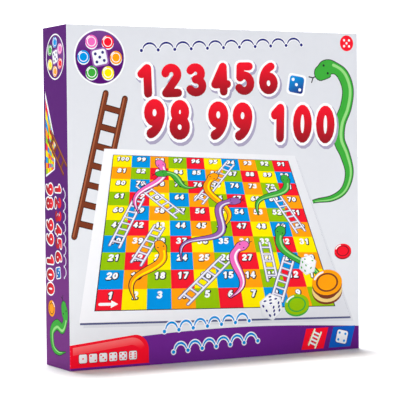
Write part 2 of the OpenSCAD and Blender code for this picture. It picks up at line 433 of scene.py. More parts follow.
def plate(low, high, radius=0.0, count=6):
    """A rectangle between two corners, with its corners rounded by quarter circles."""
    low, high = np.asarray(low, float), np.asarray(high, float)
    if not radius:
        return np.array((low, (high[0], low[1]), high, (low[0], high[1])))
    inner_low, inner_high = low + radius, high - radius
    middles = (inner_low, (inner_high[0], inner_low[1]), inner_high, (inner_low[0], inner_high[1]))
    turns = (180, 270, 0, 90)
    return np.concatenate([
        arc(middle, (radius, radius), turn, turn + 90, count) for middle, turn in zip(middles, turns)
    ])


def stepped_plate(low, high, level, upright):
    """A rectangle with points at shares of its level sides and of its upright ones."""
    corners = plate(low, high)
    edges = zip(corners, np.roll(corners, -1, axis=0), (level, upright, level, upright))
    return np.concatenate([
        start + (end - start) * np.concatenate(([0], shares))[:, None] for start, end, shares in edges
    ])


def sides(path):
    """Unit steps along a path, and the unit steps to its left."""
    along = np.gradient(path, axis=0)
    along = along / np.linalg.norm(along, axis=1)[:, None]
    return along, np.column_stack((-along[:, 1], along[:, 0]))


def ribbon(path, half, cap=4):
    """Outline of a stroke: a path moved to both sides by half its width, with round ends of cap points."""
    path = np.asarray(path, float)
    half = np.broadcast_to(half, len(path))[:, None]
    along, left = sides(path)
    turn = np.linspace(0, np.pi, cap + 2)[1:-1, None]
    head = path[-1] + half[-1] * (np.sin(turn) * along[-1] - np.cos(turn) * left[-1])
    tail = path[0] + half[0] * (np.cos(turn) * left[0] - np.sin(turn) * along[0])
    return np.concatenate((path - left * half, head, (path + left * half)[::-1], tail))


def curve_through(points, count=10):
    """A smooth path through points: a Catmull-Rom curve with count steps between two of them."""
    points = np.asarray(points, float)
    ends = np.concatenate(([2 * points[0] - points[1]], points, [2 * points[-1] - points[-2]]))
    before, first, last, after = (ends[i:len(ends) - 3 + i, None] for i in range(4))
    t = np.linspace(0, 1, count, endpoint=False)[None, :, None]
    path = 0.5 * (
        2 * first + (last - before) * t + (2 * before - 5 * first + 4 * last - after) * t ** 2
        + (3 * first - before - 3 * last + after) * t ** 3
    )
    return np.concatenate((path.reshape(-1, 2), points[-1:]))


def between(start, end):
    """The step from one point to another, and the unit step to its left."""
    step = np.subtract(end, start, dtype=float)
    return step, np.array((-step[1], step[0])) / np.hypot(*step)


def wave_path(start, end, waves, swing, count):
    """A path between two points that swings to both sides as a sine with a whole or half count of waves."""
    t = np.linspace(0, 1, count)[:, None]
    step, left = between(start, end)
    return start + step * t + left * swing * np.sin(2 * np.pi * waves * t)


# Print


class Patch(NamedTuple):
    """Ink inside closed outlines, bare where two overlap. Near turns into far from start to end."""

    outlines: list
    near: tuple
    far: tuple = None
    start: tuple = (0.0, 0.0)
    end: tuple = (0.0, 1.0)


def placed(at, size=1.0, turn=0.0, slant=0.0):
    """A plane matrix that slants, scales and turns a motif, in degrees, and sets it down at a point."""
    angle = np.radians(turn)
    width, height = np.broadcast_to(size, 2)
    turned = np.array(((np.cos(angle), -np.sin(angle)), (np.sin(angle), np.cos(angle))))
    matrix = np.eye(3)
    matrix[:2, :2] = turned @ np.array(((width, slant * height), (0, height)))
    matrix[:2, 2] = at
    return matrix


def square_to(corners):
    """The plane projection that takes the unit square to four corners, from the lower left one round."""
    unit = ((0, 0), (1, 0), (1, 1), (0, 1))
    rows, values = [], []
    for (u, v), (x, y) in zip(unit, corners):
        rows += [(u, v, 1, 0, 0, 0, -u * x, -v * x), (0, 0, 0, u, v, 1, -u * y, -v * y)]
        values += [x, y]
    return np.append(np.linalg.solve(np.array(rows, float), np.array(values, float)), 1).reshape(3, 3)


def carried(points, matrix):
    """Points carried through a plane matrix."""
    points = np.column_stack((points, np.ones(len(points)))) @ matrix.T
    return points[:, :2] / points[:, 2:]


def moved(patches, matrix):
    """The same patches with every point carried through a plane matrix."""
    result = []
    for patch in patches:
        start, end = carried(np.array((patch.start, patch.end), float), matrix)
        outlines = [carried(outline, matrix) for outline in patch.outlines]
        result.append(patch._replace(outlines=outlines, start=start, end=end))
    return result


def leftward(outline):
    """The same outline, turned so that it runs to the left round its inside."""
    x, y = outline.T
    area = np.sum(x * np.roll(y, -1) - np.roll(x, -1) * y)
    return outline if area > 0 else outline[::-1]


def print_faces(sheet, patches):
    """Points, triangles and corner inks of a printed sheet.

    Every outline goes into one Delaunay triangulation. A triangle is inside a patch if an odd number of the
    patch's outlines cover it. It takes the ink of the last patch that it is inside, and it is kept if it is
    inside the sheet.
    """
    layers = [sheet, *patches]
    outlines = [leftward(np.asarray(outline, float)) for patch in layers for outline in patch.outlines]
    owner = np.repeat(np.arange(len(layers)), [len(patch.outlines) for patch in layers])
    ends = np.cumsum([len(outline) for outline in outlines])
    rings = np.split(np.arange(ends[-1]), ends[:-1])
    corners = list(map(Vector, np.concatenate(outlines)))
    found = delaunay_2d_cdt(corners, [], [ring.tolist() for ring in rings], 0, SAME_POINT, True)
    points, triangles, covers = np.array(found[0]), np.array(found[2]), found[5]
    count = np.fromiter(map(len, covers), int, len(covers))
    face = np.repeat(np.arange(len(covers)), count)
    layer = owner[np.fromiter(chain.from_iterable(covers), int, count.sum())]
    pairs, times = np.unique(face * len(layers) + layer, return_counts=True)
    face, layer = np.divmod(pairs[times % 2 == 1], len(layers))
    top = np.zeros(len(covers), int)
    np.maximum.at(top, face, layer)
    kept = face[layer == 0]
    top = top[kept]
    used, corners = np.unique(triangles[kept], return_inverse=True)
    points, triangles = points[used], corners.reshape(-1, 3)
    near = np.array([linear(patch.near) for patch in layers])[top][:, None]
    far = np.array([linear(patch.far or patch.near) for patch in layers])[top][:, None]
    start = np.array([patch.start for patch in layers], float)[top][:, None]
    step = np.array([patch.end for patch in layers], float)[top][:, None] - start
    share = np.sum((points[triangles] - start) * step, axis=2) / np.sum(step ** 2, axis=2)
    return points, triangles, near + (far - near) * np.clip(share, 0, 1)[..., None]


# Motifs


def figure_strokes(figure, count):
    """Centre lines of a figure, half a unit wide and one high. A stroke with its ends together is a ring."""

    def bow(x, y, width, height, first, last):
        return arc((x, y), (width, height), first, last, count)

    return {
        "0": [bow(0.25, 0.5, 0.25, 0.5, 0, 360)],
        "1": [((0.06, 0.78), (0.3, 1)), ((0.3, 1), (0.3, 0))],
        "2": [np.concatenate((bow(0.25, 0.74, 0.25, 0.26, 170, -40), [(0, 0)])), ((0, 0), (0.5, 0))],
        "3": [bow(0.22, 0.76, 0.24, 0.24, 150, -90), bow(0.22, 0.26, 0.28, 0.26, 90, -150)],
        "4": [((0.36, 1), (0, 0.3)), ((0, 0.3), (0.52, 0.3)), ((0.36, 1), (0.36, 0))],
        "5": [((0.46, 1), (0.08, 1)), ((0.08, 1), (0.05, 0.55)), bow(0.22, 0.32, 0.28, 0.32, 128, -145)],
        "6": [bow(0.25, 0.29, 0.25, 0.29, 0, 360), bow(0.52, 0.3, 0.52, 0.7, 105, 180)],
        "7": [((0, 1), (0.5, 1)), ((0.5, 1), (0.16, 0))],
        "8": [bow(0.25, 0.76, 0.21, 0.24, 0, 360), bow(0.25, 0.26, 0.25, 0.26, 0, 360)],
        "9": [bow(0.25, 0.71, 0.25, 0.29, 0, 360), bow(-0.02, 0.7, 0.52, 0.7, 0, -75)],
    }[figure]


def stroke(path, half):
    """Outlines of a stroke of a figure: a ribbon, or two ellipses for a ring."""
    path = np.asarray(path, float)
    if not np.allclose(path[0], path[-1]):
        return [ribbon(path, half)]
    low, high = path.min(axis=0), path.max(axis=0)
    middle, radii = (low + high) / 2, (high - low) / 2
    rings = [radii + half, radii - half]
    return [disc(middle, ring, len(path) + 4) for ring in rings if ring.min() > 0.02]


def numerals(text, layers, count=7, gap=0.1):
    """A row of figures one unit high about its middle, in layers of (added width, near, far, shift)."""
    advance = 0.5 + 2 * FIGURE_HALF + gap
    at = np.cumsum([0] + [0.55 if figure == " " else advance for figure in text])
    shift = -(at[-1] - gap) / 2 + FIGURE_HALF
    patches = []
    for added, near, far, offset in layers:
        for figure, x in zip(text, at):
            if figure != " ":
                move = np.add((x + shift, -0.5), offset)
                for path in figure_strokes(figure, count):
                    outlines = stroke(np.asarray(path, float) + move, FIGURE_HALF + added)
                    patches.append(Patch(outlines, near, far, (0, 0.6), (0, -0.6)))
    return patches


def snake(path, width, back, belly, edge, edge_width):
    """A snake from above: a path from head to tail whose width runs out to the tail.

    Two bells along the path swell the head and narrow the neck behind it. The head's place and the bells'
    reach are shares of the whole path.
    """
    path = np.asarray(path, float)
    steps = np.concatenate(([0], np.cumsum(np.linalg.norm(np.diff(path, axis=0), axis=1))))
    t = steps / steps[-1]
    head = min(0.5, 0.55 * width / steps[-1])
    taper = np.maximum(np.minimum(1, 1.9 * (1 - t)) ** 0.8, 0.08)
    swell = 0.4 * np.exp(-((t - head) / head) ** 2)
    neck = 0.15 * np.exp(-((t - 3 * head) / head) ** 2)
    half = width / 2 * taper * (1 + swell - neck)
    along, left = sides(path)
    patches = [Patch([ribbon(path, half + edge_width, 8)], edge)]
    tip = path[0] - along[0] * half[0]
    for way in (-0.25, 0.25):
        fork = tip - along[0] * width * 0.55 + left[0] * width * way
        patches.append(Patch([ribbon((tip, tip - along[0] * width * 0.25, fork), width * 0.05)], edge))
    patches.append(Patch([ribbon(path, half, 8)], back))
    stripe = (t > 2.2 * head) & (t < 0.93)
    offset = path + left * half[:, None] * 0.42
    patches.append(Patch([ribbon(offset[stripe], half[stripe] * 0.26)], belly))
    eye = np.searchsorted(t, head * 0.9)
    for way in (-0.52, 0.52):
        patches.append(Patch([disc(path[eye] + left[eye] * half[eye] * way, width * 0.1, 12)], edge))
    return patches


def ladder(foot, head, width, rungs, half, wood, shine, edge, edge_width):
    """A ladder between two points: two rails and rungs, each a stroke with a dark edge under them all."""
    step, left = between(foot, head)
    left = left * width / 2
    heights = (np.arange(rungs) + 0.7) / (rungs + 0.4)
    bars = [(foot + step * t - left, foot + step * t + left) for t in heights]
    bars += [(foot + way * left, head + way * left) for way in (-1, 1)]
    patches = [Patch([ribbon(bar, half + edge_width)], edge) for bar in bars]
    patches += [Patch([ribbon(bar, half)], wood) for bar in bars]
    side = left / np.hypot(*left) * half * 0.4
    patches += [Patch([ribbon(np.add(bar, side), half * 0.3)], shine) for bar in bars[-2:]]
    return patches


def pips(value, spread, radius, ink):
    """Pips of a side of a die about its middle."""
    return [Patch([disc(np.multiply(place, spread), radius, 14)], ink) for place in PIPS[value]]


def die_tile(value, body, shade, pip, edge, edge_width=0.1):
    """A face of a die as a rounded tile one unit wide about its middle."""
    patches = [Patch([plate((-0.5 - edge_width,) * 2, (0.5 + edge_width,) * 2, 0.22)], edge)]
    patches.append(Patch([plate((-0.5, -0.5), (0.5, 0.5), 0.18)], body, shade, (-0.3, 0.5), (0.3, -0.5)))
    return patches + pips(value, 0.27, 0.1, pip)


def solid_die(values, body, shades, pip, edge):
    """A die seen from above a corner, one unit wide: three faces on slanted axes about that corner."""
    right, left, down = np.array((0.8, 0.42)), np.array((-0.8, 0.42)), np.array((0, -0.95))
    rim = np.array((right, right + left, left, left + down, down, right + down))
    middle = rim.mean(axis=0)
    patches = [Patch([middle + (rim - middle) * 1.07], edge)]
    faces = ((right, left), (left, down), (right, down))
    for (across, up), value, shade in zip(faces, values, shades):
        matrix = np.eye(3)
        matrix[:2, 0], matrix[:2, 1], matrix[:2, 2] = across, up, (across + up) / 2
        face = [Patch([plate((-0.49, -0.49), (0.49, 0.49), 0.12)], body, shade, (-0.5, -0.5), (0.5, 0.5))]
        patches += moved(face + pips(value, 0.27, 0.105, pip), matrix)
    return patches


def counter_mark(colour, dark, shine):
    """A counter lying on paper, one unit across: its side, its face, a ring and a glint."""
    patches = [Patch([disc((0, -0.09), 0.5)], dark), Patch([disc((0, 0), 0.5)], colour)]
    patches.append(Patch([disc((0, 0), 0.37), disc((0, 0), 0.31)], dark))
    patches.append(Patch([ribbon(arc((0, 0), (0.43, 0.43), 110, 160, 8), 0.035)], shine))
    return patches


def arrow(start, end, half, ink):
    """A straight arrow with a barbed head."""
    step, left = between(start, end)
    step = step / np.hypot(*step)
    neck = end - step * half * 4
    head = np.array((neck - left * half * 2.6, end, neck + left * half * 2.6))
    return [Patch([ribbon((start, neck + step * half), half)], ink), Patch([head], ink)]


def hops(start, end, count, tall, half, ink, edge=None, edge_width=0.0):
    """A trail of hops between two points: bows over a straight line, each from one dot to the next."""
    step = between(start, end)[0] / count
    wide = np.hypot(*step)
    turn = placed(start, 1, np.degrees(np.arctan2(step[1], step[0])))
    layers = [(edge_width, edge), (0, ink)] if edge else [(0, ink)]
    patches = []
    for added, tone in layers:
        for index in range(count):
            bow = arc(((index + 0.5) * wide, 0), (wide * 0.42, tall), 162, 18, 14)
            swell = half * (0.55 + 0.45 * np.sin(np.linspace(0, np.pi, 14)))
            patches.append(Patch([ribbon(bow, swell + added)], tone))
        dots = [disc((index * wide, 0), half * 1.7 + added, 14) for index in range(count + 1)]
        patches += [Patch([dot], tone) for dot in dots]
    return moved(patches, turn)


def counter_ring(inks):
    """A ring of counters round a die, on a purple disc one unit across."""
    patches = [Patch([disc((0, 0), 0.5, 48)], inks.white)]
    patches.append(Patch([disc((0, 0), 0.47, 48)], inks.purple, inks.lilac))
    tones = (inks.orange, inks.red, inks.pink, inks.blue, inks.grass, inks.yellow)
    for at, tone in zip(disc((0, 0), 0.315, len(tones)), tones):
        patches += moved(counter_mark(tone, inks.white, inks.white), placed(at, 0.235))
    tile = die_tile(5, inks.white, inks.paper, inks.navy, inks.lilac)
    return patches + moved(tile, placed((0, 0), 0.27, 12))


# The board


def square_middle(number):
    """Middle of a numbered square, in squares: rows run from the lower left corner, to and fro."""
    row, step = divmod(number - 1, SQUARES)
    column = SQUARES - 1 - step if row % 2 else step
    return np.array((column + 0.5, row + 0.5))


def board_squares(inks):
    """The coloured squares, one unit wide: five colours that step on along a row and from row to row."""
    tones = (inks.red, inks.yellow, inks.blue, inks.orange, inks.green)
    patches = [Patch([plate((-0.04, -0.04), (SQUARES + 0.04, SQUARES + 0.04))], inks.dark)]
    for row in range(SQUARES):
        for column in range(SQUARES):
            tone = tones[(column + 2 * row + row // 3) % len(tones)]
            patches.append(Patch([plate((column, row), (column + 1, row + 1))], tone))
    return patches


def board_art(inks):
    """The whole face of the board, in squares, from the lower left corner of the first square."""
    patches = board_squares(inks)
    ink_layers = ((0.15, inks.dark, None, (0.05, -0.06)), (0, inks.white, None, (0, 0)))
    for number in range(1, SQUARES ** 2 + 1):
        width = 0.27 if number < SQUARES ** 2 else 0.24
        spot = placed(square_middle(number) + (0.02, 0.2), (width, 0.29), 0, 0.12)
        patches += moved(numerals(str(number), ink_layers), spot)
    patches += arrow((0.15, 0.28), (0.86, 0.28), 0.07, inks.white)
    for foot, head in ((4, 26), (13, 33), (40, 62), (50, 72), (57, 79), (65, 94), (22, 43), (8, 29)):
        ends = square_middle(foot) + (0, -0.15), square_middle(head) + (0, 0.1)
        rungs = int(np.hypot(*(ends[1] - ends[0])) * 2.6)
        patches += ladder(*ends, 0.46, rungs, 0.045, inks.steel, inks.white, inks.slate, 0.035)
    snakes = (
        (98, 59, inks.pink, inks.white, 1.0, 0.45),
        (86, 46, inks.orange, inks.yellow, -1.0, 0.5),
        (90, 53, inks.grass, inks.leaf, 1.0, 0.42),
        (67, 24, inks.lilac, inks.steel, -1.5, 0.5),
        (49, 10, inks.grass, inks.leaf, -1.0, 0.5),
        (38, 2, inks.orange, inks.yellow, 1.0, 0.4),
        (34, 6, inks.pink, inks.white, -1.0, 0.35),
        (83, 76, inks.grass, inks.leaf, 1.0, 0.3),
    )
    for head, tail, back, belly, waves, swing in snakes:
        swing = swing if waves > 0 else -swing
        path = wave_path(square_middle(head), square_middle(tail), abs(waves), swing, 44)
        patches += snake(path, 0.36, back, belly, inks.dark, 0.04)
    return patches


# The lid's print


def red_figures(inks, shadow):
    """Layers of the red figures: a shadow where there is one, a white edge and the red itself."""
    layers = [(0.1, inks.white, None, (0, 0)), (0, inks.red, inks.deep_red, (0, 0))]
    return [(0.13, inks.shadow, None, (0.055, -0.075)), *layers] if shadow else layers


def face_picture(inks):
    """The pictured board on the lid's face, with a ladder and a snake behind it and loose pieces on it."""
    board = ((8, 37), (259, 28), (205, 165), (31, 172))
    margin = placed((0.05, 0.05), 0.09)
    # Brown ladder that leans behind the pictured board
    art = ladder((13, 102), (41, 213), 17, 7, 1.9, inks.brown, inks.timber, inks.bark, 0.7)
    # Green snake that comes out from under the board and goes up behind the figures
    body = curve_through((
        (231, 234), (241, 239), (252, 234), (258, 221), (256, 206), (250, 192), (249, 178), (255, 165),
        (259, 150), (254, 136), (242, 129), (226, 127), (212, 124),
    ))
    art += snake(body, 10.5, inks.grass, inks.leaf, inks.dark, 0.7)
    # Pictured board: its shade, its cut edge, its margin and its face
    art.append(Patch([np.add(board, (3.5, -4))], inks.shade))
    art.append(Patch([np.add(board, (0.7, -1.6))], inks.slate))
    art.append(Patch([np.array(board, float)], inks.white, inks.shade, (40, 160), (250, 40)))
    art += moved(board_art(inks), square_to(board) @ margin)
    # Counters and white dice on the lower right corner of the board
    for spot, size, tone, dark in (
        ((236, 52), 30, inks.tan, inks.brown), ((236, 58), 30, inks.orange, inks.brown),
        ((206, 41), 24, inks.green, inks.grass), ((252, 84), 17, inks.red, inks.deep_red),
    ):
        art += moved(counter_mark(tone, dark, inks.white), placed(spot, (size, size * 0.72)))
    shades = (inks.white, inks.shade, inks.paper)
    for values, pip, at, size, turn in (
        ((5, 3, 6), inks.navy, (181, 41), 12, 8), ((2, 4, 1), inks.grass, (217, 74), 9, -12),
    ):
        art += moved(solid_die(values, inks.white, shades, pip, inks.shade), placed(at, size, turn))
    return art


def face_figures(inks):
    """The upper part of the lid's face: figures under a trail of hops, between two round marks."""
    # Two rows of red figures and a small blue die
    red = red_figures(inks, True)
    art = moved(numerals("123456", red, 14, 0.2), placed((124, 227), (21.5, 20.0), 2))
    art += moved(numerals("98 99 100", red, 14, 0.17), placed((155, 193), (22.4, 24.0), -1.5))
    tile = die_tile(3, inks.blue, inks.navy, inks.white, inks.white, 0.13)
    art += moved(tile, placed((207, 224), 14, -9))
    # Trail of hops over the figures
    art += hops((64, 249), (212, 257), 10, 5.5, 0.8, inks.navy, inks.white, 0.6)
    # Counters in the upper left corner, and a red disc in the upper right one
    art += moved(counter_ring(inks), placed((28, 243), 44))
    spot = (257, 259.5)
    art.append(Patch([disc(spot, 6.7)], inks.red))
    art += moved(pips(5, 2.5, 1.05, inks.white), placed(spot))
    return art


def face_band(inks, width, fold):
    """The band along the foot of the lid's face, with what is printed on it. Its top is half a sine wave."""
    x = np.linspace(fold, width - fold, 40)
    rise = BAND_EDGE + BAND_RISE * np.sin(np.pi * (x - fold) / (width - 2 * fold))
    foot = ((-4, BAND_EDGE), (-4, -4), (width + 4, -4), (width + 4, BAND_EDGE))
    band = np.concatenate((foot, np.column_stack((x, rise))[::-1]))
    art = [Patch([band], inks.violet, inks.purple, (width / 2, 0), (1.2 * width, 0))]
    # Two trails of hops
    art += hops((82, 26), (160, 30), 6, 6.5, 0.9, inks.blue, inks.white, 0.9)
    art += hops((90, 9), (168, 13), 6, 6.5, 0.9, inks.blue, inks.white, 0.9)
    # Glossy red tab with six small dice, and two slanted badges
    low, high = TAB_EDGES
    tab = ((-3, high), (-3, low), (68, low), *arc((56, 13), (12, 12), 0, 90, 12), (fold, high))
    art.append(Patch([np.array(tab)], inks.scarlet, inks.red, (0, 8), (0, 30)))
    inner = arc((51, 8.5), (10.5, 9), 80, 0, 9)
    outer = arc((53, 10.5), (12.5, 12.5), 0, 90, 12)
    gloss = ((2.5, 12), (51, 17), *inner, *outer, (2.5, 18))
    art.append(Patch([np.array(gloss)], inks.glow, inks.scarlet, (30, 22), (31, 12)))
    for index in range(6):
        tile = die_tile(index + 1, inks.white, inks.paper, inks.red, inks.deep_red, 0.06)
        art += moved(tile, placed((11 + 8.6 * index, 9), 6.8))
    for left, tone in ((210, inks.scarlet), (237, inks.cobalt)):
        badge = ((left, 2.5), (left + 22, 2.5), (left + 27, 20), (left + 5, 20))
        art.append(Patch([np.array(badge)], tone))
    art += ladder((220.5, 5), (226.5, 17.5), 7, 4, 0.8, inks.white, inks.yellow, inks.deep_red, 0.3)
    tile = die_tile(4, inks.white, inks.paper, inks.blue, inks.navy, 0.05)
    art += moved(tile, placed((250.5, 11.2), 11, -14))
    return art


def lid_face_art(inks, width, fold):
    """Print of the lid's face in millimetres from its lower left corner."""
    return face_picture(inks) + face_figures(inks) + face_band(inks, width, fold)


def wall_art(inks, depth):
    """Print of a side wall: along it in millimetres, and up from the rim to the lid's face."""
    red = red_figures(inks, False)
    art = moved(counter_ring(inks), placed((24, depth * 0.52), 36))
    corners = ((50, 2), (118, 2), (112, 20), (92, 22))
    art.append(Patch([np.add(corners, (0, 1.5))], inks.white))
    art += moved(board_squares(inks), square_to(corners) @ placed((0.03, 0.03), 0.094))
    art += ladder((86, 12), (112, 41), 9, 4, 1.3, inks.brown, inks.timber, inks.bark, 0.4)
    art += moved(numerals("123456", red, 10, 0.2), placed((154, 27), (10.2, 9.6)))
    art += moved(numerals("98 99 100", red, 10, 0.17), placed((167, 10), (11.0, 11.2)))
    art += hops((127, 38), (196, 38), 8, 3.4, 0.6, inks.steel)
    art += moved(die_tile(3, inks.blue, inks.navy, inks.white, inks.white), placed((193, 26), 8, 8))
    body = curve_through((
        (219, 36), (228, 39), (236, 33), (234, 22), (240, 12), (252, 14), (256, 25), (254, 38),
    ), 9)
    art += snake(body, 8, inks.grass, inks.leaf, inks.dark, 0.6)
    art += moved(counter_mark(inks.orange, inks.brown, inks.white), placed((222, 12), 13))
    return art


def top_art(inks, span, depth):
    """Print of the upper or lower wall: figures in the middle, hops on each side and dice at the ends."""
    red = red_figures(inks, False)
    art = moved(numerals("98 99 100", red, 10, 0.17), placed((span / 2, depth / 2), (14, 14)))
    for way in (-1, 1):
        middle = span / 2 + way * 92
        level = depth / 2 - 3
        art += hops((middle - 18, level), (middle + 18, level), 4, 6, 0.7, inks.steel)
        tile = die_tile(5, inks.white, inks.paper, inks.navy, inks.lilac)
        art += moved(tile, placed((span / 2 + way * 120, depth / 2), 14, 10 * way))
    return art


def back_art(inks, span):
    """Print of the tray's bottom: a pale panel with three pictures of play, and counters under them."""
    edge = 14
    panel = plate((edge, edge), (span - edge, span - edge), 8)
    art = [Patch([panel], inks.shade, inks.paper, (0, -60), (0, span - edge))]
    red = red_figures(inks, False)
    art += moved(numerals("1 10 100", red, 12, 0.17), placed((span / 2, span - 48), (26, 26)))
    shades = (inks.white, inks.steel, inks.shade)
    frames = [(30 + 70 * index, 92) for index in range(3)]
    for x, y in frames:
        art.append(Patch([plate((x, y), (x + 62, y + 84), 5)], inks.lilac))
        art.append(Patch([plate((x + 1.5, y + 1.5), (x + 60.5, y + 82.5), 4)], inks.white))
    x, y = frames[0]
    die = solid_die((6, 2, 3), inks.white, shades, inks.navy, inks.lilac)
    art += moved(die, placed((x + 31, y + 54), 21))
    art += moved(counter_mark(inks.red, inks.deep_red, inks.white), placed((x + 16, y + 18), 15))
    art += arrow((x + 27, y + 18), (x + 52, y + 18), 1.6, inks.purple)
    x, y = frames[1]
    art += ladder((x + 22, y + 10), (x + 34, y + 74), 15, 6, 1.9, inks.brown, inks.timber, inks.bark, 0.6)
    art += arrow((x + 48, y + 18), (x + 48, y + 66), 1.6, inks.grass)
    x, y = frames[2]
    body = wave_path((x + 26, y + 72), (x + 24, y + 12), 1.5, 9, 60)
    art += snake(body, 8, inks.grass, inks.leaf, inks.dark, 0.6)
    art += arrow((x + 50, y + 66), (x + 50, y + 18), 1.6, inks.red)
    tones = (inks.red, inks.blue, inks.grass, inks.orange)
    darks = (inks.deep_red, inks.navy, inks.dark, inks.brown)
    for index, (tone, dark) in enumerate(zip(tones, darks)):
        spot = (span / 2 - 63 + 42 * index, 54)
        art += moved(counter_mark(tone, dark, inks.white), placed(spot, 24))
    return art


def leaflet_art(inks, width, height, page):
    """Print of a page of the leaflet: a heading of dice, then grey bars beside a small picture."""
    art = []
    for index in range(3):
        tile = die_tile(1 + (page + 2 * index) % 6, inks.white, inks.paper, inks.navy, inks.purple)
        art += moved(tile, placed((width / 2 - 20 + 20 * index, height - 18), 12))
    art.append(Patch([ribbon(((10, height - 32), (width - 10, height - 32)), 0.7)], inks.purple))
    for block in range(2):
        top = height - 46 - 62 * block
        for row in range(9):
            stop = width - 12 - (7 * row) % 17 if block else width * 0.62 - (7 * row) % 13
            art.append(Patch([ribbon(((12, top - 5.4 * row), (stop, top - 5.4 * row)), 1.1)], inks.shade))
    spot = np.array((width * 0.72, height - 92))
    if page % 2:
        art += ladder(spot + (8, 4), spot + (16, 46), 11, 5, 1.3, inks.brown, inks.timber, inks.bark, 0.4)
    else:
        body = wave_path(spot + (14, 46), spot + (12, 4), 1.5, 6, 48)
        art += snake(body, 6, inks.grass, inks.leaf, inks.dark, 0.4)
    return art


# Surfaces


class Surface:
    """Faces gathered for one piece, in millimetres, with each corner's ink, wear and place on the layout."""

    def __init__(self):
        self.points, self.faces, self.inks, self.wears, self.spots = [], [], [], [], []
        self.count = 0

    def add(self, points, faces, inks, wear=0.0, spots=0.0):
        """Adds faces with as many corners each. Inks, wear and spots are for all, a face or a corner."""
        self.points.append(points)
        self.faces += (faces + self.count).tolist()
        self.inks.append(np.broadcast_to(inks, (*faces.shape, 3)).reshape(-1, 3))
        self.wears.append(np.broadcast_to(wear, faces.shape).ravel())
        self.spots.append(np.broadcast_to(spots, (*faces.shape, 2)).reshape(-1, 2))
        self.count += len(points)

    def print(self, sheet, patches, origin, up, normal, to_map=NO_MAP):
        """Adds a printed sheet that faces along a normal, with its corner at an origin. Gives its points.

        The plane matrix to_map takes it to its place on the layout.
        """
        across = np.cross(up, normal)
        points, triangles, inks = print_faces(sheet, patches)
        corners = origin + points[:, :1] * across + points[:, 1:] * np.array(up)
        self.add(corners, triangles, inks, 0.0, carried(points, to_map)[triangles])
        return points

    def mesh(self, name):
        """One mesh of all the faces, with its doubles merged.

        Ink and wear are attributes of its corners, and so are their places on the layout, if it has any.
        """
        mesh = bpy.data.meshes.new(name)
        mesh.from_pydata(np.concatenate(self.points) * MM, [], self.faces)
        inks = np.concatenate(self.inks)
        colour = mesh.attributes.new("ink", "FLOAT_COLOR", "CORNER")
        colour.data.foreach_set("color", np.column_stack((inks, np.ones(len(inks)))).ravel())
        wear = mesh.attributes.new("wear", "FLOAT", "CORNER")
        wear.data.foreach_set("value", np.concatenate(self.wears))
        spots = np.concatenate(self.spots)
        if spots.any():
            mesh.uv_layers.new(name=PRINT_MAP).uv.foreach_set("vector", spots.ravel())
        merge_doubles(mesh)
        return mesh


def merge_doubles(mesh):
    """Merges points in the same place."""
    work = bmesh.new()
    work.from_mesh(mesh)
    bmesh.ops.remove_doubles(work, verts=work.verts, dist=SAME_CORNER * MM)
    work.to_mesh(mesh)
    work.free()


def link(name, data):
    """A new object in the scene."""
    item = bpy.data.objects.new(name, data)
    bpy.context.scene.collection.objects.link(item)
    return item


def put(mesh, material, body, slot, *nodes):
    """Adds a finished piece, which rides on a body and stands for nodes."""
    piece = link(mesh.name, mesh)
    mesh.materials.append(material)
    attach(piece, body)
    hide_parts(*nodes)
    return piece


def dress(material, *nodes):
    """Gives CAD nodes that stay in sight their material."""
    for name in nodes:
        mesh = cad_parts[name].data
        mesh.materials.clear()
        mesh.materials.append(material)


def grid_faces(rows, columns, closed=False):
    """Corners of the quads of a grid of points, row by row, closed round its columns or not."""
    row = np.arange(rows - 1)[:, None]
    column = np.arange(columns if closed else columns - 1)[None, :]
    after = (column + 1) % columns
    start, next_start = row * columns, (row + 1) * columns
    corners = start + column, next_start + column, next_start + after, start + after
    return np.stack(corners, axis=-1).reshape(-1, 4)


def paper_profile(sizes, rim):
    """Section of the paper round a wall: rows of (inset from outside, depth from the face, corner radius).

    It goes round the fold at the face, down the wall, over the rim, up the turn-in and back along the card.
    """
    fold, bead, paper = sizes.fold_radius / MM, sizes.rim_radius / MM, sizes.paper / MM
    end, turned = rim + sizes.rim_cover / MM, rim - sizes.turn_in / MM
    card_in = paper + sizes.card / MM
    hair = sizes.hair / MM
    inside = card_in + paper
    angle = np.radians(np.linspace(0, 90, 7))
    quarter = np.radians(np.linspace(0, 90, 5))
    outer = np.concatenate((
        np.column_stack((fold * (1 - np.sin(angle)), fold * (1 - np.cos(angle)))),
        np.column_stack((bead * (1 - np.cos(quarter)), end - bead + bead * np.sin(quarter))),
        np.column_stack((inside - bead + bead * np.sin(quarter), end - bead + bead * np.cos(quarter))),
        ((inside, turned),),
    ))
    inner = np.array((
        (card_in + hair, turned), (card_in + hair, rim + hair), (paper - hair, rim + hair),
        (paper - hair, paper - hair),
    ))
    radius = np.concatenate((np.maximum(fold - outer[:, 0], 0), np.zeros(len(inner))))
    return np.column_stack((np.concatenate((outer, inner)), radius)), len(angle) - 1


def side_steps(bands, span, fold):
    """Shares of a side where its folds have points: even steps, and each band's ends from either corner."""
    reach = (np.array([band[:2] for band in bands]).ravel() - fold) / (span - 2 * fold)
    shares = np.unique(np.concatenate((np.linspace(0, 1, 14)[1:-1], reach, 1 - reach)))
    return shares[(shares > 0) & (shares < 1)]


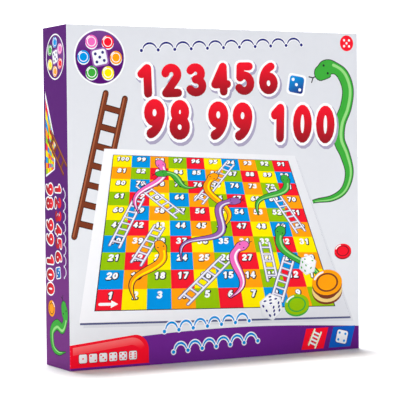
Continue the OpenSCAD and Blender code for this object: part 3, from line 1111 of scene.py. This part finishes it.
def fold_rings(profile, half, fold, steps):
    """Rings of points round a box, about its middle, one for each row of the paper's section.

    Each corner is a quarter circle, and each side has its steps between two corners.
    """
    inset, radius = profile[:, 0, None, None, None], profile[:, 2, None, None, None]
    signs = np.array(((1, -1), (1, 1), (-1, 1), (-1, -1)))[:, None]
    turns = np.radians((-90, 0, 90, 180))[:, None] + np.linspace(0, np.pi / 2, CORNER_POINTS)
    circle = np.stack((np.cos(turns), np.sin(turns)), axis=-1)
    arcs = signs * (half - np.maximum(inset, fold)) + radius * circle
    share = steps[:, None]
    straight = arcs[:, :, -1:] * (1 - share) + np.roll(arcs, -1, axis=1)[:, :, :1] * share
    return np.concatenate((arcs, straight), axis=2).reshape(len(profile), -1, 2)


def wrap(surface, low, high, way, sizes, face_ink, wall_ink, bands, steps, map_low, map_size):
    """Folds of the paper round an open box: the section carried round a rectangle with round corners.

    The flat face and the flat walls are left out, for the print. Way is 1 where the face looks to -Y. The
    fold at the face takes the face's ink, or that of a band that reaches it: from, to, ink, left side only.
    On the layout the folds fill a rectangle, one cell for each face, and the paper's back is its last row.
    """
    profile, wall_row = paper_profile(sizes, high[1] - low[1])
    fold = sizes.fold_radius / MM
    half = np.array((high[0] - low[0], high[2] - low[2])) / 2
    centre = np.array((high[0] + low[0], high[2] + low[2])) / 2
    ring = fold_rings(profile, half, fold, steps) + centre
    face_y = low[1] if way > 0 else high[1]
    y = np.broadcast_to(face_y + way * profile[:, 1:2], ring.shape[:2])
    points = np.stack((ring[..., 0], y, ring[..., 1]), axis=-1)
    rows, columns = ring.shape[:2]
    faces = grid_faces(rows, columns, True)
    row = np.repeat(np.arange(rows - 1), columns)
    station = np.tile(np.arange(columns), rows - 1) % (CORNER_POINTS + len(steps))
    middle = points.reshape(-1, 3)[faces].mean(axis=1)
    on_face = row < wall_row - 2
    inks = np.where(on_face[:, None], linear(face_ink), linear(wall_ink))
    for start, end, ink, left_only in bands:
        in_band = on_face & (middle[:, 2] - low[2] > start) & (middle[:, 2] - low[2] < end)
        in_band &= (middle[:, 0] < centre[0]) | (not left_only)
        inks[in_band] = linear(ink)
    # Paper wears where it bends, so on the short steps of the section
    wear = np.where(np.hypot(np.diff(profile[:, 0]), np.diff(profile[:, 1])) < fold / 2, 1.0, 0.0)[row]
    kept = (row != wall_row) | (station < CORNER_POINTS - 1)
    cell = np.column_stack((np.tile(np.arange(columns), rows - 1), row))
    spots = map_low + (cell[:, None] + plate((0, 0), (1, 1))[[0, 3, 2, 1]]) / (columns, rows) * map_size
    back = np.arange(columns)[None, :] + (rows - 1) * columns
    back_spots = (ring[-1][None] - centre) / half / 2 + 0.5
    back_spots = map_low + (back_spots / (columns, rows) + (0, 1 - 1 / rows)) * map_size
    if way < 0:
        faces, spots = faces[:, ::-1], spots[:, ::-1]
    else:
        back, back_spots = back[:, ::-1], back_spots[:, ::-1]
    surface.add(points.reshape(-1, 3), faces[kept], inks[kept][:, None], wear[kept][:, None], spots[kept])
    surface.add(points.reshape(-1, 3), back, linear(wall_ink), 0.0, back_spots)


def printed_box(name, low, high, way, sizes, inks, face_sheet, arts, bands=()):
    """The whole printed paper of a lid or tray: its folds, its face and its four walls.

    On the layout the face lies in the lower left corner, with two walls above it and two beside it, and the
    folds fill the corner between them.
    """
    surface = Surface()
    fold, bead = sizes.fold_radius / MM, sizes.rim_radius / MM
    width, height = high[0] - low[0], high[2] - low[2]
    end = high[1] - low[1] + sizes.rim_cover / MM
    whole = max(width, height) + 2 * end
    corner = np.array((width, height)) / whole
    steps = side_steps(bands, height, fold)
    place = corner + MAP_GAP, 1 - 2 * MAP_GAP - corner
    wrap(surface, low, high, way, sizes, face_sheet[0], inks.purple, bands, steps, *place)
    centre = (low + high) / 2
    face_y = low[1] if way > 0 else high[1]
    up, normal = (0, 0, 1), (0, -way, 0)
    origin = np.array((centre[0], face_y, low[2])) - np.cross(up, normal) * width / 2
    outline = stepped_plate((fold, fold), (width - fold, height - fold), steps, steps)
    # The face's ground is painted paler at its foot and darker towards its top: painted light and shade on
    # the paper
    sheet = Patch([outline], *face_sheet, (0, 0), (PAINTED_SHADE_LEAN * width, height))
    surface.print(sheet, arts["face"], origin, up, normal, placed((0, 0), 1 / whole))
    up = (0, -way, 0)
    walls = {
        "left": ((-1, 0, 0), (width + end, 0), 90), "right": ((1, 0, 0), (whole, 0), 90),
        "lower": ((0, 0, -1), (0, height), 0), "upper": ((0, 0, 1), (0, height + end), 0),
    }
    for key, (normal, spot, turn) in walls.items():
        span = width if normal[2] else height
        reach = np.array((width / 2, 0, height / 2)) * normal
        foot = np.array((centre[0], face_y + way * end, centre[2])) + reach
        origin = foot - np.cross(up, normal) * span / 2
        outline = stepped_plate((fold, bead), (span - fold, end - fold), steps, [])
        # Each wall's purple ground is painted paler towards one end, as painted light
        start, stop = (PALER_FROM * span, 0), (PALER_TO * span, 0)
        sheet = Patch([outline], inks.purple, inks.plum, start, stop)
        surface.print(sheet, arts[key], origin, up, normal, placed(np.divide(spot, whole), 1 / whole, turn))
    return surface.mesh(name)


def rim_points(points, size):
    """The points of a sheet that lie on its edge, in order round its middle."""
    rim = points[np.abs(points / size - 0.5).max(axis=1) > 0.5 - ON_EDGE]
    across, up = (rim - np.divide(size, 2)).T
    return rim[np.argsort(np.arctan2(up, across))]


def printed_plate(name, low, high, front, back, paper):
    """A thin printed sheet between two corners: art on its two faces, in millimetres, and a plain edge.

    The face with more art comes first. Where that art runs out over the edge, the edge and the other face
    get the same points.
    """
    surface = Surface()
    width, depth, height = high - low
    up = np.array((0, 0, 1))
    faces = [(front, low, (0, -1, 0)), (back, np.array((high[0], high[1], low[2])), (0, 1, 0))]
    faces.sort(key=lambda face: -len(face[0]))
    (art, corner, normal), (other_art, other_corner, other_normal) = faces
    points = surface.print(Patch([plate((0, 0), (width, height))], paper), art, corner, up, normal)
    rim = rim_points(points, (width, height))
    surface.print(Patch([rim * (-1, 1) + (width, 0)], paper), other_art, other_corner, up, other_normal)
    edge = corner + rim[:, :1] * np.cross(up, normal) + rim[:, 1:] * up
    ring = np.concatenate((edge, edge - np.multiply(normal, depth)))
    surface.add(ring, grid_faces(2, len(rim), True), linear(paper))
    return surface.mesh(name)


def lathed(profile, middle, count=72):
    """Points and faces of a profile of (radius, y) turned about an axis along Y."""
    angle = np.linspace(0, 2 * np.pi, count, endpoint=False)[None, :]
    radius, y = profile[:, :1], profile[:, 1:]
    points = np.stack(np.broadcast_arrays(radius * np.cos(angle), y, radius * np.sin(angle)), axis=-1)
    return points.reshape(-1, 3) + middle, grid_faces(len(profile), count, True)


def smooth(mesh, angle):
    """Shades a mesh smoothly across edges that turn by less than an angle in degrees."""
    mesh.shade_smooth()
    mesh.set_sharp_from_angle(angle=np.radians(angle))


# The stage


def add_camera(scene, stage):
    """Adds the camera, turned round the box, tilted down to it and rolled about its own axis."""
    turn, tilt, roll = stage.azimuth, stage.elevation, stage.roll
    back = np.array((np.sin(turn) * np.cos(tilt), -np.cos(turn) * np.cos(tilt), np.sin(tilt)))
    right = np.array((np.cos(turn), np.sin(turn), 0))
    up = np.cross(back, right)
    axes = np.eye(4)
    axes[:3, 0] = np.cos(roll) * right + np.sin(roll) * up
    axes[:3, 1] = np.cos(roll) * up - np.sin(roll) * right
    axes[:3, 2] = back
    axes[:3, 3] = stage.camera_place
    lens = bpy.data.cameras.new("camera")
    lens.lens = stage.lens
    camera = link("camera", lens)
    camera.matrix_world = Matrix(axes)
    scene.camera = camera


def add_light(scene, stage):
    """Adds a sky that is bright low down and dim above, and a soft light overhead."""
    scene.world = bpy.data.worlds.new("studio")
    scene.world.use_nodes = True
    scene.world.node_tree.nodes.clear()
    shade = Shade(scene.world.node_tree)
    way = shade.node("ShaderNodeTexCoord", output="Generated")
    height = shade.node("ShaderNodeSeparateXYZ", None, {"Vector": way}, "Z")
    sky = height.ramp((0.18, 1), (0.5, stage.zenith))
    sky = shade.node("ShaderNodeBackground", None, {"Color": sky, "Strength": stage.sky})
    shade.node("ShaderNodeOutputWorld", None, {"Surface": sky})
    lamp = bpy.data.lights.new("top_light", "SUN")
    lamp.energy = stage.top_light
    lamp.angle = stage.top_softness
    lean = np.sin(stage.top_tilt)
    from_light = (lean * np.sin(stage.top_turn), lean * np.cos(stage.top_turn), np.cos(stage.top_tilt))
    light = link("top_light", lamp)
    light.rotation_euler = Vector(from_light).to_track_quat("Z", "Y").to_euler()


def add_floor(stage):
    """Adds the pale floor, which isn't a piece of the part."""
    reach = stage.floor_reach
    mesh = bpy.data.meshes.new("floor")
    corners = [(x, y, 0) for x, y in plate((-reach, -reach), (reach, reach))]
    mesh.from_pydata(corners, [], [(0, 1, 2, 3)])
    tone = solid(stage.floor)
    mesh.materials.append(new_material("floor", lambda shade: {"Base Color": tone, "Roughness": 0.9}))
    floor = link("floor", mesh)


# Operators


class GAME_OT_stage(bpy.types.Operator):
    """Sets up the camera, the pale floor and the soft light"""

    bl_idname = "game.stage"
    bl_label = "Stage"

    def execute(self, context):
        scene, stage = context.scene, context.scene.game_stage
        scene.view_settings.view_transform = "Standard"
        add_camera(scene, stage)
        add_light(scene, stage)
        add_floor(stage)
        return {"FINISHED"}


class GAME_OT_lid_wrap(bpy.types.Operator):
    """Wraps the lid in its printed paper"""

    bl_idname = "game.lid_wrap"
    bl_label = "Lid Wrap"

    def execute(self, context):
        sizes, inks = context.scene.game_sizes, context.scene.game_inks
        low, high = node_box("lid_wrap")
        width, depth = high[0] - low[0], high[1] - low[1]
        arts = {
            "face": lid_face_art(inks, width, sizes.fold_radius / MM),
            "left": wall_art(inks, depth),
            "right": wall_art(inks, depth),
            "upper": top_art(inks, width, depth),
            "lower": top_art(inks, width, depth),
        }
        bands = ((0, BAND_EDGE, inks.violet, False), (*TAB_EDGES, inks.scarlet, True))
        # Ends of the painted light and shade across the lid's face
        sheet = (inks.paper, inks.shade)
        mesh = printed_box("lid_print", low, high, 1, sizes, inks, sheet, arts, bands)
        material = printed_paper("lid_print", roughness=0.42, gloss=0.02, tooth=0.00001, wave=0.0006)
        put(mesh, material, "lid", "lid_print", "lid_wrap")
        return {"FINISHED"}


class GAME_OT_tray_wrap(bpy.types.Operator):
    """Wraps the tray in its printed paper"""

    bl_idname = "game.tray_wrap"
    bl_label = "Tray Wrap"

    def execute(self, context):
        sizes, inks = context.scene.game_sizes, context.scene.game_inks
        low, high = node_box("tray_wrap")
        arts = {"face": back_art(inks, high[0] - low[0]), "left": [], "right": [], "upper": [], "lower": []}
        sheet = (inks.purple, inks.purple)
        mesh = printed_box("tray_print", low, high, -1, sizes, inks, sheet, arts)
        material = printed_paper("tray_print", roughness=0.45, gloss=0.02, tooth=0.00001, wave=0.0005)
        put(mesh, material, "tray", "tray_print", "tray_wrap")
        return {"FINISHED"}


class GAME_OT_card(bpy.types.Operator):
    """Dresses the greyboard, the corner stays and the folded insert"""

    bl_idname = "game.card"
    bl_label = "Greyboard and Insert"

    def execute(self, context):
        grey = fibre_card(
            "greyboard", base=(0.40, 0.37, 0.33), fleck=(0.20, 0.18, 0.16), stretch=(1, 1, 0.2), depth=0.14,
        )
        kraft = fibre_card(
            "stay_paper", base=(0.50, 0.34, 0.19), fleck=(0.28, 0.18, 0.10), stretch=(1, 0.2, 1), depth=0.14,
        )
        white = fibre_card(
            "insert_card", base=(0.78, 0.78, 0.75), fleck=(0.66, 0.65, 0.62), stretch=(0.3, 1, 1), depth=0.05
        )
        dress(grey, "lid_board", "tray_board", "base_panel", "leaf_panel")
        dress(kraft, "lid_corner_stays", "tray_corner_stays")
        dress(white, "insert_frame", "insert_dividers", "board_platform")
        dress(white, "leaflet_platform", "dice_platform", "counter_platform")
        return {"FINISHED"}


class GAME_OT_board(bpy.types.Operator):
    """Prints the two halves of the folding board"""

    bl_idname = "game.board"
    bl_label = "Folding Board"

    def execute(self, context):
        sizes, inks = context.scene.game_sizes, context.scene.game_inks
        low, high = node_box("base_face_sheet")
        leaf_low, leaf_high = node_box("leaf_face_sheet")
        fold_low, fold_high = node_box("board_fold")
        half = high[0] - (fold_low[0] + fold_high[0]) / 2
        side = high[2] - low[2]
        margin = sizes.board_margin / MM
        step = (side - 2 * margin) / SQUARES
        whole = moved(board_art(inks), placed((margin, margin), step))
        base = moved(whole, placed((high[0] - low[0] - 2 * half, 0)))
        mesh = printed_plate("base_print", low, high, base, [], inks.white)
        material = linen_print("board_print", roughness=0.4, gloss=0.25)
        put(mesh, material, "board_base", "board_print", "base_face_sheet")
        mesh = printed_plate("leaf_print", leaf_low, leaf_high, [], whole, inks.white)
        put(mesh, material, "board_leaf", "board_print", "leaf_face_sheet")
        dress(linen_paper("board_back", inks.purple), "base_back_sheet", "leaf_back_sheet")
        dress(linen_paper("board_fold", inks.shade), "board_fold")
        return {"FINISHED"}


class GAME_OT_leaflet(bpy.types.Operator):
    """Prints the two leaves of the leaflet"""

    bl_idname = "game.leaflet"
    bl_label = "Leaflet"

    def execute(self, context):
        inks = context.scene.game_inks
        material = printed_paper("leaflet_paper", roughness=0.72, gloss=0.1, tooth=0.00002, wave=0.0012)
        bodies = {"leaflet_front": "leaflet_cover", "leaflet_rear": "leaflet_base"}
        for index, (node, body) in enumerate(bodies.items()):
            low, high = node_box(node)
            width, height = high[0] - low[0], high[2] - low[2]
            pages = [leaflet_art(inks, width, height, 2 * index + side) for side in (0, 1)]
            mesh = printed_plate(f"{node}_print", low, high, *pages, inks.white)
            put(mesh, material, body, "leaflet_paper", node)
        crease = fibre_card(
            "leaflet_fold", base=(0.84, 0.84, 0.83), fleck=(0.7, 0.7, 0.7), stretch=(1, 1, 0.3), depth=0.05,
        )
        dress(crease, "leaflet_fold")
        return {"FINISHED"}


class GAME_OT_counters(bpy.types.Operator):
    """Moulds the four counters"""

    bl_idname = "game.counters"
    bl_label = "Counters"

    def execute(self, context):
        sizes, inks = context.scene.game_sizes, context.scene.game_inks
        tones = {"red": inks.red, "blue": inks.blue, "green": inks.grass, "yellow": inks.yellow}
        for colour, tone in tones.items():
            low, high = node_box(f"counter_{colour}")
            radius, tall = (high[0] - low[0]) / 2, high[1] - low[1]
            profile = counter_profile(sizes, radius, tall)
            middle = np.array(((low[0] + high[0]) / 2, low[1], (low[2] + high[2]) / 2))
            surface = Surface()
            points, faces = lathed(profile, middle)
            surface.add(points, faces, linear(tone))
            mesh = surface.mesh(f"{colour}_counter_piece")
            smooth(mesh, 40)
            material = moulded_plastic(f"{colour}_plastic", tone, 0.24)
            put(mesh, material, f"{colour}_counter", f"{colour}_plastic", f"counter_{colour}")
        return {"FINISHED"}


def counter_profile(sizes, radius, tall):
    """Section of a counter as (radius, height): a dish and a round-topped rim, the same on both faces."""
    rim, bead, dish = sizes.counter_rim / MM, sizes.counter_bead / MM, sizes.counter_dish / MM
    out = np.linspace(0, radius - rim - dish, 8)
    slope = np.linspace(0, 1, 7)[1:]
    fall = np.column_stack((radius - rim - dish * (1 - slope), dish * (0.5 + 0.5 * np.cos(np.pi * slope))))
    turn = np.radians(np.linspace(-90, 0, 6))
    edge = np.column_stack((radius - bead + bead * np.cos(turn), bead + bead * np.sin(turn)))
    lower = np.concatenate((np.column_stack((out, np.full_like(out, dish))), fall, edge))
    upper = lower[::-1] * (1, -1) + (0, tall)
    return np.concatenate((lower, upper))


class GAME_OT_dice(bpy.types.Operator):
    """Moulds the two dice"""

    bl_idname = "game.dice"
    bl_label = "Dice"

    def execute(self, context):
        sizes, inks = context.scene.game_sizes, context.scene.game_inks
        material = die_plastic("die_plastic", inks.white, inks.navy)
        turns = {"die_one": ("first_die", -90, "X"), "die_two": ("second_die", 90, "Y")}
        for node, (body, angle, axis) in turns.items():
            low, high = node_box(node)
            points, faces, inside = die_points(sizes, (high[0] - low[0]) / 2)
            turned = np.array(Matrix.Rotation(np.radians(angle), 3, axis))
            mesh = bpy.data.meshes.new(f"{body}_piece")
            mesh.from_pydata((points @ turned.T + (low + high) / 2) * MM, [], faces.tolist())
            pip = mesh.attributes.new("pip", "FLOAT", "POINT")
            pip.data.foreach_set("value", inside)
            merge_doubles(mesh)
            smooth(mesh, 50)
            put(mesh, material, body, "die_plastic", node)
        return {"FINISHED"}


def die_points(sizes, half, count=49):
    """Points, faces and pip distance of a die: a cube with round edges inside a ball, dished at its pips."""
    edge, corner = sizes.die_edge / MM, sizes.die_corner / MM
    ball = half * np.sqrt(3) - corner
    radius, deep = sizes.pip_width / MM / 2, sizes.pip_depth / MM
    u, v = np.meshgrid(np.linspace(-half, half, count), np.linspace(-half, half, count), indexing="ij")
    turns = {1: (0, "X"), 2: (90, "X"), 3: (90, "Y"), 4: (-90, "Y"), 5: (-90, "X"), 6: (180, "X")}
    points, faces, insides = [], [], []
    for value, (angle, axis) in turns.items():
        middles = np.array(PIPS[value], float) * half / 2
        away = np.hypot(u[..., None] - middles[:, 0], v[..., None] - middles[:, 1]).min(axis=-1)
        flat = np.stack((u, v, np.full_like(u, half)), axis=-1).reshape(-1, 3)
        core = np.clip(flat, edge - half, half - edge)
        bulge = flat - core
        rounded = core + edge * bulge / np.linalg.norm(bulge, axis=1)[:, None]
        far = np.linalg.norm(rounded, axis=1)[:, None]
        rounded = rounded * np.minimum(1, ball / far)
        rounded[:, 2] -= deep * np.maximum(0, 1 - (away.ravel() / radius) ** 2)
        points.append(rounded @ np.array(Matrix.Rotation(np.radians(angle), 3, axis)).T)
        faces.append(grid_faces(count, count) + len(faces) * count ** 2)
        insides.append(radius - away.ravel())
    return np.concatenate(points), np.concatenate(faces), np.concatenate(insides)


class GAME_PT_panel(bpy.types.Panel):
    """Lists the pieces of the game, its sizes and its colours"""

    bl_label = "Game Box"
    bl_idname = "GAME_PT_panel"
    bl_space_type = "VIEW_3D"
    bl_region_type = "UI"
    bl_category = "Game Box"

    def draw(self, context):
        for operator in OPERATORS:
            self.layout.operator(operator.bl_idname)
        for group in (context.scene.game_sizes, context.scene.game_inks, context.scene.game_stage):
            box = self.layout.box()
            for name in group.__annotations__:
                box.prop(group, name)


OPERATORS = (
    GAME_OT_stage, GAME_OT_lid_wrap, GAME_OT_tray_wrap, GAME_OT_card, GAME_OT_board, GAME_OT_leaflet,
    GAME_OT_counters, GAME_OT_dice,
)
GROUPS = {"game_sizes": GameSizes, "game_inks": GameInks, "game_stage": GameStage}


def register():
    for item in (*GROUPS.values(), *OPERATORS, GAME_PT_panel):
        bpy.utils.register_class(item)
    for name, group in GROUPS.items():
        setattr(bpy.types.Scene, name, PointerProperty(type=group))


def unregister():
    for name in GROUPS:
        delattr(bpy.types.Scene, name)
    for item in reversed((*GROUPS.values(), *OPERATORS, GAME_PT_panel)):
        bpy.utils.unregister_class(item)


def main():
    """Builds every piece in order."""
    register()
    for operator in OPERATORS:
        getattr(bpy.ops.game, operator.bl_idname.split(".")[1])()


if __name__ == "__main__":
    main()
